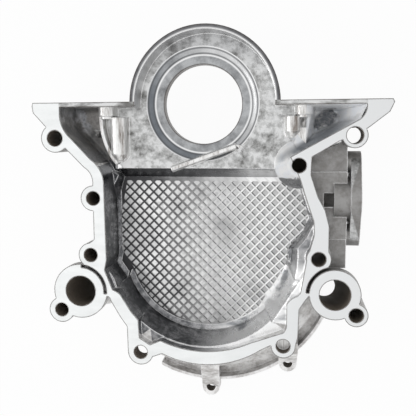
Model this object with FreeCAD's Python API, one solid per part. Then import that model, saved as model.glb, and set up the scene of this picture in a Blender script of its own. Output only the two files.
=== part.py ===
import FreeCAD, Part

import math
import os

from FreeCAD import Vector

# Timing cover of a V-eight engine, cast in one piece in aluminium. Millimetres.
# The origin is on the crankshaft axis, in the plane of the block flange.
# +X runs to the fuel pump side, +Y to the oil pan, +Z out of the flange towards the block.

# Depths below the flange face
flange_thickness = 9.0
shelf_depth = 20.0
floor_depth = 38.0
ledge_depth = 8.0
pump_face_depth = 56.0

# Walls
wall = 4.5
rail_wall = 3.5
arch_wall = 3.6

# Oil pan side
rail_y = 1.5
arch_x = 3.9
arch_y = 0.6
arch_radius = 56.4
pan_hole_radius = 3.4
pan_hole_length = 20.0
pan_hole_depth = 13.0
left_pan_hole_x = -74.0
right_pan_hole_x = 77.5
pan_boss_radius = 6.6
pan_boss_length = 10.5
left_ridge_x = -65.0
left_ridge_end = -38.0
right_ridge_x = 69.7
right_ridge_end = -21.0
ridge_depth = 14.0
ridge_gap = 0.8
ridge_nose = 5.3
neck_step = 1.6
neck_length = 2.0

# Crankshaft seal
crank_hole_radius = 30.6
crank_ring_radius = 37.5
crank_cone_radius = 44.2
crank_ring_depth = 3.0
seal_radius = 35.0
seal_depth = 10.0
crank_boss_radius = 42.0
crank_boss_front = 42.0

# Chain chamber
chamber_x = 0.4
chamber_y = -115.7
chamber_mouth_radius = 75.4
chamber_floor_radius = 68.5
floor_bevel = 3.0
step_slope = 8.0
step_y = -49.5

# Rib grid on the chamber floor
rib_pitch = 5.65
rib_width = 1.3
rib_height = 0.8
smallest_cell = 2.3
grid_row_y = -110.0
grid_span = 190.0
grid_radius = 64.5

# Bolt holes through the flange
bolt_radius = 5.3
dowel_radius = 6.0
dowel_depth = 7.0
blind_depth = 34.0

# Water passages
left_port_x = -95.3
left_port_y = -145.6
left_port_radius = 12.0
left_pad_radius = 21.7
right_port_x = 102.1
right_port_y = -142.8
right_port_radius = 11.5
right_pad_radius = 19.2
port_mouth_length = 14.0
port_end_radius = 9.0
port_end_shift_x = 5.3
port_end_shift_y = -6.7
port_end_thickness = 9.0
port_end_wall = 8.0
slot_width = 2.2
slot_depth = 15.0
left_slot_radius = 19.0

# Pump mounting ring at the front
ring_x = 5.0
ring_y = -129.0
ring_radius = 101.5
ring_width = 17.0
ring_height = 14.0
ring_lip = 2.4
ring_web = 4.0
ring_left = -40.0
ring_top = -58.0
skirt_radius = 101.0
skirt_depth = 36.0
lug_radius = 7.4
lug_hole_radius = 3.9
lug_thickness = 11.0
lug_length = 12.0
gusset_overlap = 8.0

# Fuel pump side
fuel_face_x = 121.5
fuel_plate_x = 111.0
fuel_top_depth = 19.0
fuel_bottom_depth = 50.0
fuel_axis_y = -73.5
fuel_axis_depth = 31.5
fuel_tube_radius = 18.0
fuel_tube_x = 101.0
fuel_hole_radius = 13.5
fuel_pad_radius = 19.5
fuel_pad_end_radius = 8.5
fuel_pad_thickness = 8.0
fuel_bolt_spacing = 57.0
fuel_bolt_radius = 3.9
fuel_bolt_depth = 16.0
fuel_end_lip = 2.5
fuel_body_drop = 1.6
fuel_hole_length = 28.0
fuel_window_half = 11.5
fuel_window_depth = 22.0
fuel_window_x = 60.0

# Oil deflector bar
bar_start = (-24.6, -50.2)
bar_end = (27.2, -32.0)
bar_base = 5.5
bar_top = 2.6
bar_height = 7.0
hook_drop = 2.0

# Inside the chamber
flare_growth = 10.0
foot_growth = 5.0
column_growth = 3.0
fin_depth = 11.0
pocket_depth = 33.0
pocket_wall_depth = 10.0
pocket_wall_x = 86.0
nib_depth = 22.0

through = 200.0
reach = 150.0


def wire(points):
    """Closed wire: (x, y) is a straight run to a point, (xm, ym, x, y) an arc through a middle point."""
    edges = []
    here = Vector(points[0][0], points[0][1], 0)
    first = here
    for point in points[1:] + [points[0][:2]]:
        there = Vector(point[-2], point[-1], 0)
        if len(point) == 4:
            middle = Vector(point[0], point[1], 0)
            edges.append(Part.Arc(here, middle, there).toShape())
        elif (there - here).Length > 1e-6:
            edges.append(Part.makeLine(here, there))
        here = there
    if (here - first).Length > 1e-6:
        edges.append(Part.makeLine(here, first))
    return Part.Wire(edges)


def prism(points, top, bottom):
    """Upright solid with the outline given, from z = -top down to z = -bottom."""
    face = Part.Face(wire(points))
    face.translate(Vector(0, 0, -bottom))
    return face.extrude(Vector(0, 0, bottom - top))


def disc(x, y, radius, top, bottom):
    """Upright cylinder from z = -top down to z = -bottom."""
    return Part.makeCylinder(radius, bottom - top, Vector(x, y, -bottom))


def cone(x, y, top_radius, bottom_radius, top, bottom):
    """Upright cone with the two radii at z = -top and z = -bottom."""
    return Part.makeCone(bottom_radius, top_radius, bottom - top, Vector(x, y, -bottom))


def rod(x, depth, radius, y_start, length):
    """Cylinder along -Y that starts at y_start."""
    return Part.makeCylinder(radius, length, Vector(x, y_start, -depth), Vector(0, -1, 0))


def box(x0, x1, y0, y1, top, bottom):
    """Upright block between the limits given."""
    return Part.makeBox(x1 - x0, y1 - y0, bottom - top, Vector(x0, y0, -bottom))


def fuse(shapes):
    """All the shapes joined into one."""
    return shapes[0].multiFuse(shapes[1:])


rail_inner = rail_y - rail_wall
back_depth = floor_depth + wall
shelf_back = shelf_depth + wall
ledge_back = ledge_depth + wall

# Inner edge of the flange, which is the mouth of the chamber
mouth = [
    (-107.7, rail_inner),
    (-107.8, -8.6),
    (-105.5, -17.8, -99.8, -25.4),
    (-84.3, -41.8),
    (-76.9, -49.8, -74.2, -58.5),
    (-73.5, -120.0),
    (-75.2, -128.6),
    (-69.2, -143.8),
    (-66.0, -145.3, -63.1, -147.5),
    (-54.5, -161.3),
    (-49.0, -167.6),
    (-48.3, -182.0),
    (-40.1, -187.3),
    (-31.6, -183.5),
    (4.0, -190.7, 39.1, -182.3),
    (64.1, -173.2),
    (66.1, -169.5),
    (66.2, -150.8),
    (68.8, -147.6, 74.2, -144.3),
    (76.4, -141.9),
    (80.5, -118.0),
    (85.9, -98.0),
    (85.6, -88.0),
    (79.9, -71.6),
    (75.3, -56.9),
    (67.9, -40.0),
    (115.8, -13.6),
    (120.6, -8.7, 121.7, rail_inner),
]

# Outer edge of the flange without its bosses
flange = [
    (-129.2, rail_y),
    (-129.9, -1.0),
    (-129.2, -6.2),
    (-119.7, -16.7),
    (-104.1, -33.5),
    (-89.7, -48.1),
    (-84.4, -53.8, -83.2, -61.5),
    (-83.2, -104.0),
    (-87.0, -107.0),
    (-90.0, -126.0),
    (-80.0, -145.0),
    (-76.5, -150.4),
    (-74.2, -149.3, -71.3, -152.2),
    (-63.5, -165.7),
    (-58.2, -173.2),
    (-57.8, -193.0),
    (-37.0, -196.8),
    (-30.4, -194.2),
    (5.0, -201.6, 46.7, -188.1),
    (55.8, -183.3),
    (73.3, -184.0),
    (75.2, -176.0),
    (75.8, -155.0),
    (80.2, -148.0),
    (86.0, -140.0),
    (89.0, -127.0),
    (96.5, -122.0),
    (97.0, -110.2),
    (97.0, -91.0),
    (93.8, -78.9),
    (88.5, -69.3),
    (83.2, -53.2),
    (83.7, -40.0),
    (89.4, -36.8),
    (102.1, -29.2),
    (123.0, -19.4),
    (137.9, -7.8),
    (141.0, -1.0),
    (139.9, rail_y),
]

# Deep part of the chamber above its round end, and the shelf around the crankshaft hole
deep_plan = [
    (-120.0, rail_inner),
    (-120.0, -60.0),
    (-79.0, -60.0),
    (-79.0, -124.0),
    (-66.5, -142.0),
    (-40.0, chamber_y),
    (chamber_x + chamber_floor_radius, chamber_y),
    (81.0, -101.0),
    (88.0, -86.0),
    (124.0, -16.0),
    (124.0, rail_inner),
]
shelf_plan = [
    (-79.5, rail_inner),
    (-79.5, -10.0),
    (-76.8, -27.0, -67.0, -45.5),
    (-64.5, step_y),
    (72.0, step_y),
    (82.0, -30.0),
    (82.0, rail_inner),
]

# Area of the rib grid, inside the rounded foot of the chamber wall
grid_start = math.radians(198)
grid_end = math.radians(312)
grid_middle = math.radians(255)
grid_plan = [
    (-66.0, -60.5),
    (-71.5, -88.0),
    (-71.5, -119.0),
    (chamber_x + grid_radius * math.cos(grid_start), chamber_y + grid_radius * math.sin(grid_start)),
    (chamber_x + grid_radius * math.cos(grid_middle), chamber_y + grid_radius * math.sin(grid_middle),
     chamber_x + grid_radius * math.cos(grid_end), chamber_y + grid_radius * math.sin(grid_end)),
    (72.5, -117.0),
    (79.0, -100.5),
    (82.5, -88.0),
    (77.0, -72.0),
    (70.0, -61.0),
]

# Flange bosses: x, y, boss radius, boss depth
bosses = [
    (-112.3, -25.6, 11.0, 42.0),
    (-83.0, -71.9, 9.9, pump_face_depth),
    (-86.2, -116.5, 9.7, pump_face_depth),
    (-111.3, -161.2, 10.2, pump_face_depth),
    (-47.5, -193.5, 10.2, 12.5),
    (64.0, -183.9, 9.4, pump_face_depth),
    (89.7, -116.0, 9.3, pump_face_depth),
    (117.9, -157.9, 8.8, pump_face_depth),
    (74.3, -46.3, 8.8, pump_face_depth),
    (114.0, -24.4, 9.3, 20.0),
]

# Flange bolt holes: x, y, radius, depth
holes = [
    (-112.3, -25.6, dowel_radius, through),
    (-83.0, -71.9, bolt_radius, through),
    (-86.2, -116.5, bolt_radius, through),
    (-111.3, -161.2, bolt_radius, through),
    (-47.5, -193.5, bolt_radius, through),
    (64.0, -183.9, bolt_radius, dowel_depth),
    (89.7, -116.0, bolt_radius, through),
    (117.9, -157.9, bolt_radius, through),
    (74.3, -46.3, bolt_radius, blind_depth),
    (114.0, -24.4, dowel_radius, through),
]

# Lugs of the pump mounting ring: x, y, sideways lean of the gusset, length of the gusset
lugs = [
    (2.4, -238.5, 4.5, 39.0),
    (67.4, -214.5, 0.4, 24.0),
]


def offset(points, distance, top, bottom):
    """Upright solid whose outline lies outside the given one by the distance."""
    face = Part.Face(wire(points).makeOffset2D(distance, 0, False, False))
    face.translate(Vector(0, 0, -bottom))
    return face.extrude(Vector(0, 0, bottom - top))


def loft(lower, upper):
    """Straight-sided solid between two closed wires."""
    return Part.makeLoft([lower, upper], True, True)


def level(points, depth):
    """Closed wire at z = -depth."""
    outline = wire(points)
    outline.translate(Vector(0, 0, -depth))
    return outline


def ring_wire(x, y, radius, depth):
    """Level circle as a wire."""
    return Part.Wire([Part.makeCircle(radius, Vector(x, y, -depth))])


def side_profile(points, x0, x1):
    """Solid along X with the (y, depth) outline given."""
    corners = [Vector(x0, y, -depth) for y, depth in points]
    face = Part.Face(Part.makePolygon(corners + corners[:1]))
    return face.extrude(Vector(x1 - x0, 0, 0))


def chamber():
    """Hollow of the chain chamber: straight sides above, a tapered round end below."""
    round_end = cone(chamber_x, chamber_y, chamber_mouth_radius, chamber_floor_radius, -0.5, floor_depth)
    upper = prism(deep_plan, -0.5, floor_depth)
    deep = upper.fuse(round_end).removeSplitter().common(prism(mouth, -0.5, floor_depth))
    low = [edge for edge in deep.Edges
           if max(abs(v.Z + floor_depth) for v in edge.Vertexes) < 0.01]
    deep = deep.makeChamfer(floor_bevel, low)
    ledge = prism(mouth, -0.5, ledge_depth)
    arch = disc(arch_x, arch_y, arch_radius - arch_wall, -0.5, shelf_depth)
    return [deep, ledge, arch]


def case():
    """Outer wall around the chamber, with the rail for the oil pan along its top."""
    round_end = cone(chamber_x, chamber_y, chamber_mouth_radius + wall, chamber_floor_radius + wall,
                     0, back_depth)
    upper = offset(deep_plan, wall, 0, back_depth)
    walls = offset(mouth, wall, 0, back_depth).common(upper.fuse(round_end))
    shallow = offset(mouth, wall, 0, ledge_back).common(prism(flange, 0, ledge_back))
    rail = box(flange[0][0], flange[-1][0], rail_inner, rail_y, 0, shelf_back)
    arch = disc(arch_x, arch_y, arch_radius, 0, shelf_back)
    above = box(-reach, reach, rail_y, reach, -1, back_depth + 1)
    return fuse([walls, shallow, rail]).cut(above).fuse(arch.common(above))


def flange_parts():
    """Flange plate with the round bosses of its bolts and the two pads of the water ports."""
    plates = [prism(flange, 0, flange_thickness)]
    for x, y, radius, depth in bosses:
        plates.append(disc(x, y, radius, 0, depth))
    plates.append(disc(left_port_x, left_port_y, left_pad_radius, 0, flange_thickness))
    plates.append(disc(right_port_x, right_port_y, right_pad_radius, 0, flange_thickness))
    return plates


def passage(x, y, radius, end, extra, top, bottom):
    """Water passage: upright at the flange, then a tapered pipe that leans over to the pump face."""
    mouth_part = disc(x, y, radius + extra, top, port_mouth_length)
    pipe = loft(ring_wire(*end, port_end_radius + extra, pump_face_depth),
                ring_wire(x, y, radius + extra, port_mouth_length))
    if bottom > pump_face_depth:
        pipe = pipe.fuse(disc(*end, port_end_radius + extra, pump_face_depth, bottom))
    return mouth_part.fuse(pipe)


def arc_slot(x, y, radius, start, end, depth):
    """Curved slot of the slot width, outside the radius, between two angles in degrees."""
    def at(r, angle):
        return (x + r * math.cos(math.radians(angle)), y + r * math.sin(math.radians(angle)))
    outer = radius + slot_width
    middle = (start + end) / 2
    points = [
        at(radius, start),
        at(outer, start),
        at(outer, middle) + at(outer, end),
        at(radius, end),
        at(radius, middle) + at(radius, start),
    ]
    return prism(points, -1, depth)


def pump_ring():
    """Crescent rim that carries the pump, with a trough behind its lip and the sloped skirt above it."""
    below = box(ring_left, reach, -2 * reach, ring_top, 0, pump_face_depth)
    rim = disc(ring_x, ring_y, ring_radius, pump_face_depth - ring_height, pump_face_depth)
    trough = disc(ring_x, ring_y, ring_radius - ring_lip, 0, pump_face_depth - ring_web)
    open_middle = disc(ring_x, ring_y, ring_radius - ring_width, 0, pump_face_depth + 1)
    rim = rim.cut(trough).cut(open_middle).common(below)
    inner_radius = skirt_radius - wall
    skirt = cone(chamber_x, chamber_y, chamber_mouth_radius + wall, skirt_radius, ledge_depth, skirt_depth)
    skirt = skirt.fuse(disc(chamber_x, chamber_y, skirt_radius, skirt_depth, pump_face_depth))
    inner = cone(chamber_x, chamber_y, chamber_mouth_radius, inner_radius, ledge_back, skirt_depth + wall)
    inner = inner.fuse(disc(chamber_x, chamber_y, inner_radius, skirt_depth + wall, pump_face_depth + 1))
    round_part = box(ring_left, reach, -2 * reach, chamber_y - 5.0, 0, pump_face_depth)
    inside_rim = disc(ring_x, ring_y, ring_radius, 0, pump_face_depth)
    return [rim, skirt.cut(inner).common(round_part).common(inside_rim)]


def lug_parts():
    """Pump bolt lugs outside the rim, each with the sloped gusset that runs up to the flange."""
    parts = []
    for x, y, lean, rise in lugs:
        near = y + rise
        far = near + gusset_overlap
        left = x - lug_radius
        right = x + lug_radius
        upper = level([(left + lean, near), (right + lean, near), (right + lean, far), (left + lean, far)],
                      flange_thickness / 3)
        lower = level([(left, y), (right, y), (right, far), (left, far)], pump_face_depth - lug_thickness)
        parts.append(loft(lower, upper))
        parts.append(disc(x, y, lug_radius, pump_face_depth - lug_thickness, pump_face_depth))
        parts.append(box(left, right, y, y + lug_length, pump_face_depth - lug_thickness, pump_face_depth))
    return parts


def shelf():
    """Raised shelf around the crankshaft hole, with its slope down to the chamber floor."""
    plate = prism(shelf_plan, shelf_depth, back_depth)
    slope = side_profile([(step_y, shelf_depth), (step_y - step_slope, floor_depth),
                          (step_y - step_slope, back_depth), (step_y, back_depth)], -68.0, 70.0)
    return plate.fuse(slope).common(offset(mouth, wall / 2, 0, back_depth))


def front_recess():
    """Hollow in the front, under the shelf, that leaves room for the crankshaft damper."""
    side = shelf_plan[0][0] + wall
    plate = box(side, shelf_plan[-1][0] - wall, step_y + wall, 80.0, shelf_back, back_depth + 20)
    slope = side_profile([(step_y + wall, shelf_back), (step_y + wall - step_slope, back_depth),
                          (step_y + wall, back_depth)], side, shelf_plan[-1][0] - wall)
    return plate.fuse(slope)


def crank_boss():
    """Boss that holds the crankshaft seal, on the front of the shelf."""
    return disc(0, 0, crank_boss_radius, shelf_depth, crank_boss_front)


def crank_bore():
    """Conical ring around the crankshaft hole, the hole, and the seal's seat open to the front."""
    dish = cone(0, 0, crank_cone_radius, crank_ring_radius, shelf_depth, shelf_depth + crank_ring_depth)
    hole = disc(0, 0, crank_hole_radius, shelf_depth - 1, crank_boss_front)
    seat = disc(0, 0, seal_radius, crank_boss_front - seal_depth, crank_boss_front + 1)
    return fuse([dish, hole, seat])


def pan_bosses():
    """Bosses for the two oil pan bolts, and the thick ridges that run on from them over the shelf."""
    parts = []
    for x, ridge_x, ridge_end in ((left_pan_hole_x, left_ridge_x, left_ridge_end),
                                  (right_pan_hole_x, right_ridge_x, right_ridge_end)):
        parts.append(rod(x, pan_hole_depth, pan_boss_radius, rail_y, pan_boss_length))
        parts.append(box(x - pan_boss_radius, x + pan_boss_radius, rail_y - pan_boss_length, rail_y,
                         pan_hole_depth, shelf_back))
        start = rail_y - pan_boss_length - ridge_gap
        length = start - ridge_end
        ridge = rod(ridge_x, ridge_depth, pan_boss_radius, start, length)
        nose = Part.makeCone(pan_boss_radius, pan_boss_radius / 2, ridge_nose,
                             Vector(ridge_x, ridge_end, -ridge_depth), Vector(0, -1, 0))
        body = box(ridge_x - pan_boss_radius, ridge_x + pan_boss_radius, ridge_end, start,
                   ridge_depth, shelf_back)
        foot = disc(ridge_x, ridge_end, pan_boss_radius, ridge_depth, shelf_back)
        parts += [ridge, nose, body, foot]
        parts.append(rod(x, pan_hole_depth, pan_boss_radius - neck_step, rail_y - pan_boss_length,
                         neck_length))
    return parts


def curved_fin():
    """Curved rib on the left of the left ridge, which closes the pocket beside it."""
    return prism([
        (-79.8, -8.5),
        (-77.6, -27.0, -67.5, -46.5),
        (-65.4, -45.0),
        (-75.2, -26.0, -77.2, -8.5),
    ], fin_depth, back_depth)


def deflector_bar():
    """Bar with sloped sides that stands on the shelf and throws oil off the crankshaft hole."""
    start = Vector(bar_start[0], bar_start[1], 0)
    end = Vector(bar_end[0], bar_end[1], 0)
    along = (end - start).normalize()
    across = Vector(-along.y, along.x, 0)

    def outline(half, depth, length_trim):
        a = start + along * length_trim
        b = end - along * length_trim
        corners = [a - across * half, b - across * half, b + across * half, a + across * half]
        return level([(c.x, c.y) for c in corners], depth)

    bar = loft(outline(bar_base / 2, shelf_depth + 1, 0), outline(bar_top / 2, shelf_depth - bar_height, 0.8))
    hook = prism([(bar_end[0] - 2.0, bar_end[1] + 1.6), (bar_end[0] + 5.2, bar_end[1] - 0.4),
                  (bar_end[0] + 2.6, bar_end[1] - 5.4), (bar_end[0] - 0.2, bar_end[1] - 4.4),
                  (bar_end[0] + 1.4, bar_end[1] - 1.8)],
                 shelf_depth - bar_height + hook_drop, shelf_depth + 1)
    return [bar, hook]


def inner_columns():
    """Columns and gussets that stand inside the chamber."""
    x9, y9, r9 = bosses[8][:3]
    flare = cone(x9, y9, r9, r9 + flare_growth, 1.5, shelf_depth + 1)
    foot = cone(x9, y9, r9, r9 + foot_growth, shelf_depth, back_depth)
    x7, y7, r7 = bosses[6][:3]
    column = cone(x7, y7, r7, r7 + column_growth, 0.0, back_depth)
    wedge = loft(level([(-76.0, -52.0), (-67.5, -56.5), (-75.5, -86.0)], floor_depth + 1),
                 level([(-76.0, -52.0), (-70.0, -55.5), (-75.5, -66.0)], 27.0))
    rib = loft(level([(64.5, -126.0), (69.5, -125.0), (78.0, -142.0), (70.0, -148.0)], floor_depth + 1),
               level([(72.0, -134.0), (74.5, -134.0), (78.0, -142.0), (73.0, -146.0)], 6.0))
    return [flare, foot, column, wedge, rib]


def corner_slope():
    """Flat slope across the corner of the chamber below the right water passage."""
    foot = [(76.0, -114.0), (46.0, -161.0), (80.0, -165.0), (95.0, -125.0)]
    head = [(x + 9.0, y - 5.7) for x, y in foot]
    return loft(level(foot, back_depth), level(head, 3.0))


def pocket_slopes():
    """Sloped sides of the pocket by the fuel pump ear, open to the ridge, and the nib in the left pocket."""
    block = prism([(82.0, rail_inner), (122.5, rail_inner), (117.0, -14.0), (76.0, -37.0), (70.0, -30.0)],
                  0.8, back_depth)
    mouth_wire = level([(82.5, rail_inner), (121.6, rail_inner), (115.8, -13.6), (76.0, -34.6)], 0.5)
    foot_wire = level([(86.0, -5.5), (103.5, -5.5), (104.0, -14.5), (87.5, -20.0)], pocket_depth)
    low_side = box(right_ridge_x, pocket_wall_x, -reach, rail_inner, 0, pocket_wall_depth)
    nib = prism([(-86.9, -20.2), (-83.0, -20.2), (-85.4, -25.4)], nib_depth, back_depth)
    return [block.cut(loft(foot_wire, mouth_wire)).cut(low_side), nib]


def fuel_side():
    """Housing of the fuel pump arm beside the chamber, with the pump's face and its two bolt ends."""
    body = prism([(84.0, -38.0), (fuel_plate_x - 0.4, -28.5), (fuel_plate_x, -52.0), (fuel_plate_x, -126.5),
                  (92.0, -126.5), (80.0, -90.0)], fuel_top_depth + fuel_body_drop, fuel_bottom_depth)
    middle = prism([(82.0, -52.0), (fuel_plate_x, -52.0), (fuel_plate_x, -104.0), (84.0, -104.0)],
                   fuel_top_depth, fuel_bottom_depth)
    length = fuel_face_x - fuel_tube_x
    tube = Part.makeCylinder(fuel_tube_radius, length, Vector(fuel_tube_x, fuel_axis_y, -fuel_axis_depth),
                             Vector(1, 0, 0))
    pads = [Part.makeCylinder(fuel_pad_radius, fuel_pad_thickness,
                              Vector(fuel_face_x - fuel_pad_thickness, fuel_axis_y, -fuel_axis_depth),
                              Vector(1, 0, 0))]
    for side in (-1, 1):
        end_y = fuel_axis_y + side * fuel_bolt_spacing / 2
        end_thickness = fuel_pad_thickness + fuel_end_lip
        pads.append(Part.makeCylinder(fuel_pad_end_radius, end_thickness,
                                      Vector(fuel_face_x - end_thickness, end_y, -fuel_axis_depth),
                                      Vector(1, 0, 0)))
        tilt = math.asin((fuel_pad_radius - fuel_pad_end_radius) / (fuel_bolt_spacing / 2))
        corners = []
        for sign in (-1, 1):
            dy = side * math.sin(tilt)
            dz = sign * math.cos(tilt)
            corners.append(((fuel_axis_y + dy * fuel_pad_radius, -fuel_axis_depth + dz * fuel_pad_radius),
                            (end_y + dy * fuel_pad_end_radius, -fuel_axis_depth + dz * fuel_pad_end_radius)))
        (a, b), (c, d) = corners
        outline = [Vector(fuel_face_x - fuel_pad_thickness, y, z) for y, z in (a, b, d, c, a)]
        pads.append(Part.Face(Part.makePolygon(outline)).extrude(Vector(fuel_pad_thickness, 0, 0)))
    return [body, middle, tube] + pads


def fuel_openings():
    """Hole for the fuel pump arm, its window into the chamber, and the two bolt holes."""
    hole = Part.makeCylinder(fuel_hole_radius, fuel_hole_length + 1,
                             Vector(fuel_face_x - fuel_hole_length, fuel_axis_y, -fuel_axis_depth),
                             Vector(1, 0, 0))
    window = box(fuel_window_x, fuel_face_x - fuel_hole_length + 2, fuel_axis_y - fuel_window_half,
                 fuel_axis_y + fuel_window_half, fuel_window_depth, floor_depth - 2)
    tools = [hole, window]
    for side in (-1, 1):
        end_y = fuel_axis_y + side * fuel_bolt_spacing / 2
        tools.append(Part.makeCylinder(fuel_bolt_radius, fuel_bolt_depth + 1,
                                       Vector(fuel_face_x - fuel_bolt_depth, end_y, -fuel_axis_depth),
                                       Vector(1, 0, 0)))
    return tools


def grid_cells():
    """Square recesses between the crossed ribs of the chamber floor."""
    area = prism(grid_plan, floor_depth - 1, floor_depth + 5)
    side = rib_pitch - rib_width
    step = rib_pitch * math.sqrt(2) / 2
    cells = []
    count = int(grid_span / step)
    for row in range(-count, count + 1):
        for column in range(-count, count + 1):
            if (row + column) % 2:
                continue
            x = column * step
            y = grid_row_y + row * step
            tip = side / math.sqrt(2)
            tips = [Vector(x + tip, y, -floor_depth), Vector(x - tip, y, -floor_depth),
                    Vector(x, y + tip, -floor_depth), Vector(x, y - tip, -floor_depth)]
            within = [area.isInside(corner, 0.01, True) for corner in tips]
            if not any(within):
                continue
            cell = Part.makeBox(side, side, rib_height + 1, Vector(-side / 2, -side / 2, 0))
            cell.rotate(Vector(0, 0, 0), Vector(0, 0, 1), 45)
            cell.translate(Vector(x, y, -floor_depth - rib_height))
            if not all(within):
                cell = area.common(cell)
            if cell.Volume > smallest_cell:
                cells.append(cell)
    return Part.makeCompound(cells)


def cover():
    """The whole casting."""
    left_end = (left_port_x + port_end_shift_x, left_port_y + port_end_shift_y)
    right_end = (right_port_x - port_end_shift_x, right_port_y + port_end_shift_y)
    body = [case()] + flange_parts() + pump_ring() + lug_parts() + fuel_side()
    body.append(passage(left_port_x, left_port_y, left_port_radius, left_end, wall, 0, pump_face_depth))
    body.append(passage(right_port_x, right_port_y, right_port_radius, right_end, wall, 0, pump_face_depth))
    for end in (left_end, right_end):
        body.append(disc(*end, port_end_radius + port_end_wall, pump_face_depth - port_end_thickness,
                         pump_face_depth))
    solid = fuse(body)
    solid = solid.cut(chamber())
    above = box(-reach, reach, rail_y, reach, -1, through)
    solid = solid.cut(above.cut(disc(arch_x, arch_y, arch_radius, -2, shelf_back)))
    inside = pan_bosses() + pocket_slopes() + [curved_fin(), shelf(), corner_slope()]
    inside += inner_columns() + deflector_bar()
    limit = offset(mouth, wall / 2, 0, back_depth)
    solid = fuse([solid] + [piece.common(limit) for piece in inside])
    kept_x, kept_y, kept_radius = bosses[8][:3]
    solid = solid.cut(front_recess().cut(disc(kept_x, kept_y, kept_radius, 0, through)))
    solid = solid.fuse(crank_boss())
    tools = [crank_bore()] + fuel_openings()
    tools.append(arc_slot(left_port_x, left_port_y, left_slot_radius, -5, 87, slot_depth))
    tools.append(arc_slot(right_port_x, right_port_y, right_pad_radius, 92, 177, slot_depth))
    lowest = pump_face_depth + 1
    tools.append(passage(left_port_x, left_port_y, left_port_radius, left_end, 0, -1, lowest))
    tools.append(passage(right_port_x, right_port_y, right_port_radius, right_end, 0, -1, lowest))
    for x, y, radius, depth in holes:
        tools.append(disc(x, y, radius, -1, depth))
    for x, y, lean, rise in lugs:
        tools.append(disc(x, y, lug_hole_radius, 0, through))
    for x in (left_pan_hole_x, right_pan_hole_x):
        tools.append(rod(x, pan_hole_depth, pan_hole_radius, rail_y + 1, pan_hole_length + 1))
    solid = solid.cut(tools)
    return solid.cut(grid_cells())


part = cover()
os.makedirs("parts", exist_ok=True)
part.exportStep("parts/timing_cover.step")
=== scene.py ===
import math

import bmesh
import bpy
import numpy as np
from bpy.props import FloatProperty, FloatVectorProperty, PointerProperty
from mathutils import Matrix, Vector


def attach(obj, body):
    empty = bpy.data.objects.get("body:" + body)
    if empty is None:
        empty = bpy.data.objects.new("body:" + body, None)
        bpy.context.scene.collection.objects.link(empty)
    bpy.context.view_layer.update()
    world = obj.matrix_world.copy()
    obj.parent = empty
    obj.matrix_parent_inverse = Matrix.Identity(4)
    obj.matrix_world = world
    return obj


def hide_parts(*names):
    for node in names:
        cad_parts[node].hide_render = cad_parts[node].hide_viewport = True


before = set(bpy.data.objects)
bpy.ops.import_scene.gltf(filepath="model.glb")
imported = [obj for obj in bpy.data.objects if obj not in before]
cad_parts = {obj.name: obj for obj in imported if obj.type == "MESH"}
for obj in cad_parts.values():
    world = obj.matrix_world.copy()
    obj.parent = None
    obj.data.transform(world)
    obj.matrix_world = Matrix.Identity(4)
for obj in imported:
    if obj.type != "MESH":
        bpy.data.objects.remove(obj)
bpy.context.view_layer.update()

bl_info = {
    "name": "Timing cover looks",
    "version": (1, 0, 0),
    "blender": (4, 5, 0),
    "location": "View3D > Sidebar > Timing cover",
    "description": "Finishes of a cast engine timing cover, with its stage, lamps and camera",
    "category": "Object",
}

NODE = "timing_cover"

# Finishes, in the order of the casting's material slots
(INNER_WALL, SHELF, WAFFLE, MILLED, TURNED, BORE, OUTSIDE, ARCH_RIM, RIDGE, RIGHT_POCKET,
 LEFT_POCKET) = range(11)

# Places on the casting, in metres, as in its construction
SHELF_Z = -0.020
CRANK_RING_Z = -0.023
FLOOR_Z = -0.038
FRONT_Z = -0.056
RAIL_Y = 0.0015
RAIL_IN_Y = -0.0020
RAIL_LEFT_X = -0.1077
RAIL_RIGHT_X = 0.1216
PUMP_PAD_X = 0.1215
CRANK_HOLE_RADIUS = 0.0306
CRANK_RING_RADIUS = 0.0375
CRANK_CONE_RADIUS = 0.0442
ARCH = (0.0039, 0.0006)
ARCH_RADIUS = 0.0564
ARCH_INNER_RADIUS = 0.0528
CHAMBER = (0.0004, -0.1157)
CHAMBER_RIM = 0.0790
WALL = 0.0038

# The waffle's ribs: their height, the distance between two, and the place on Y that their rows start from
RIB_DEPTH = 0.0008
RIB_PITCH = 0.00565
RIB_ROW_Y = -0.110

# Deflector bar: the two ends of its middle line, and half its width
BAR_LINE = ((-0.0246, -0.0502), (0.0272, -0.0320))
BAR_HALF = 0.0034

# Ridges on the shelf under the oil pan bolts: left and right side, and lower end on Y
RIDGES = [
    (-0.0812, -0.0578, -0.0465),
    (0.0622, 0.0845, -0.0300),
]

# Pockets at the ears: inner end on X and lower end on Y, and the flare about the bolt hole at the right one
LEFT_POCKET_X, LEFT_POCKET_Y = -0.0570, -0.0440
RIGHT_POCKET_X, RIGHT_POCKET_Y = 0.0790, -0.0560
FLARE_RADIUS = 0.0205

# Below this place on Y, everything beyond the chamber's round end is outside
RIM_Y = -0.160

# The waffle lies below this place on Y, and within this distance of the chamber's centre
WAFFLE_TOP_Y = -0.05
WAFFLE_REACH = 0.1

# Allowances for the facets' rounding: for a face in a plane, and for a face clear of a plane or a round wall
HAIR = 0.0001
CLEAR = 0.0002

# The least share of a face's normal on an axis: leaning that way, facing it, and square to it
LEANING = 0.3
FACING = 0.9
SQUARE = 0.99

# Inner edge of the flange at the right, in metres: y, x
RIGHT_EDGE = [
    (-0.1508, 0.0662),
    (-0.1419, 0.0764),
    (-0.1180, 0.0805),
    (-0.0980, 0.0859),
    (-0.0880, 0.0856),
    (-0.0716, 0.0799),
    (-0.0569, 0.0753),
    (-0.0400, 0.0679),
    (-0.0136, 0.1158),
    (0.0015, 0.1217),
]

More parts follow.
